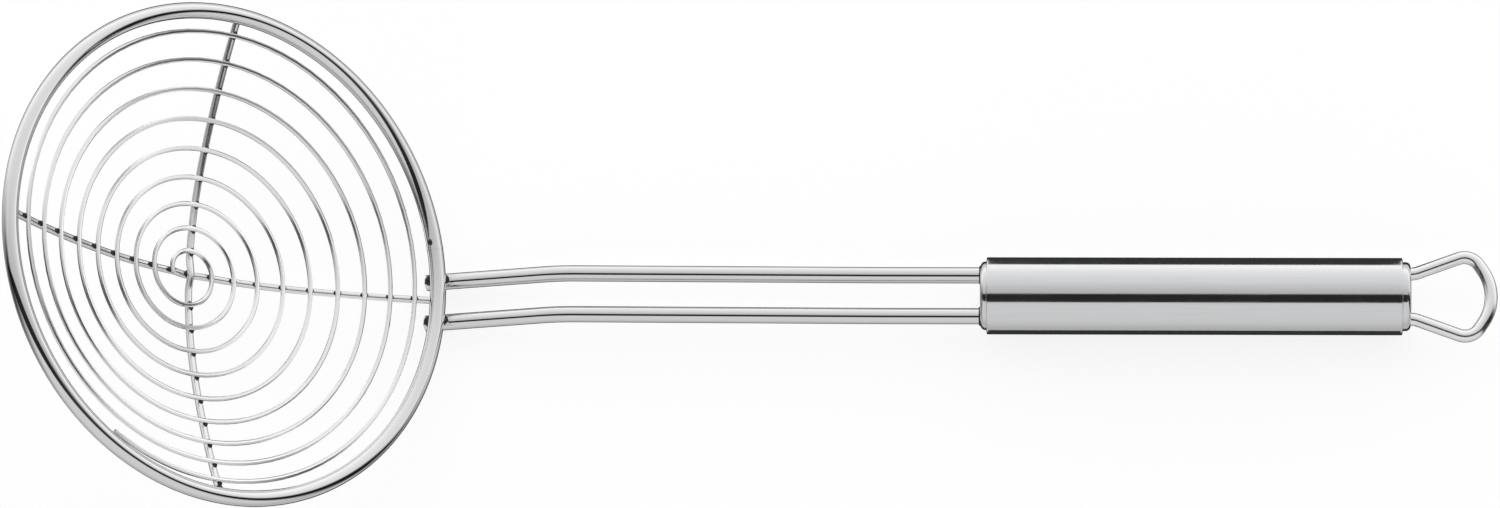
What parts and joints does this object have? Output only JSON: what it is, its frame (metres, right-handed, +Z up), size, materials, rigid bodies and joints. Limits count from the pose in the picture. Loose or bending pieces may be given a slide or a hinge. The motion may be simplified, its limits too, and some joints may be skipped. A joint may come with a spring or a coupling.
{
  "type": "spider skimmer",
  "caption": "Spider skimmer: a shallow bowl of spiral wire in a round rim, carried on bent twin rods in a tube handle with a hanging loop.",
  "frame": {"origin": "middle of the length and width, on the surface that the skimmer lies on", "axes": "+X runs along the handle to the hanging loop, +Z points up out of the bowl's open side, and the skimmer rests on its tube and on the rods' ends"},
  "size_m": [0.3592, 0.126, 0.0838],
  "materials": {
    "bright_wire": "bright drawn stainless steel wire, polished",
    "weld": "fused stainless steel, slightly dull",
    "plug_steel": "pressed stainless steel, polished edge",
    "handle_steel": "satin, brushed along the tube"
  },
  "bodies": {
    "root": {"rim_ring": "bright_wire", "rim_joint_weld": "weld", "spiral_wire": "bright_wire", "cross_wire_along": "bright_wire", "cross_wire_across": "bright_wire", "hub_weld": "weld", "cross_wire_end_welds": "weld", "rod_right": "bright_wire", "rod_left": "bright_wire", "rod_rim_welds": "weld", "rod_plug_welds": "weld", "front_plug": "plug_steel", "handle_tube": "handle_steel", "rear_plug": "plug_steel", "hanging_loop": "bright_wire"}
  },
  "joints": []
}
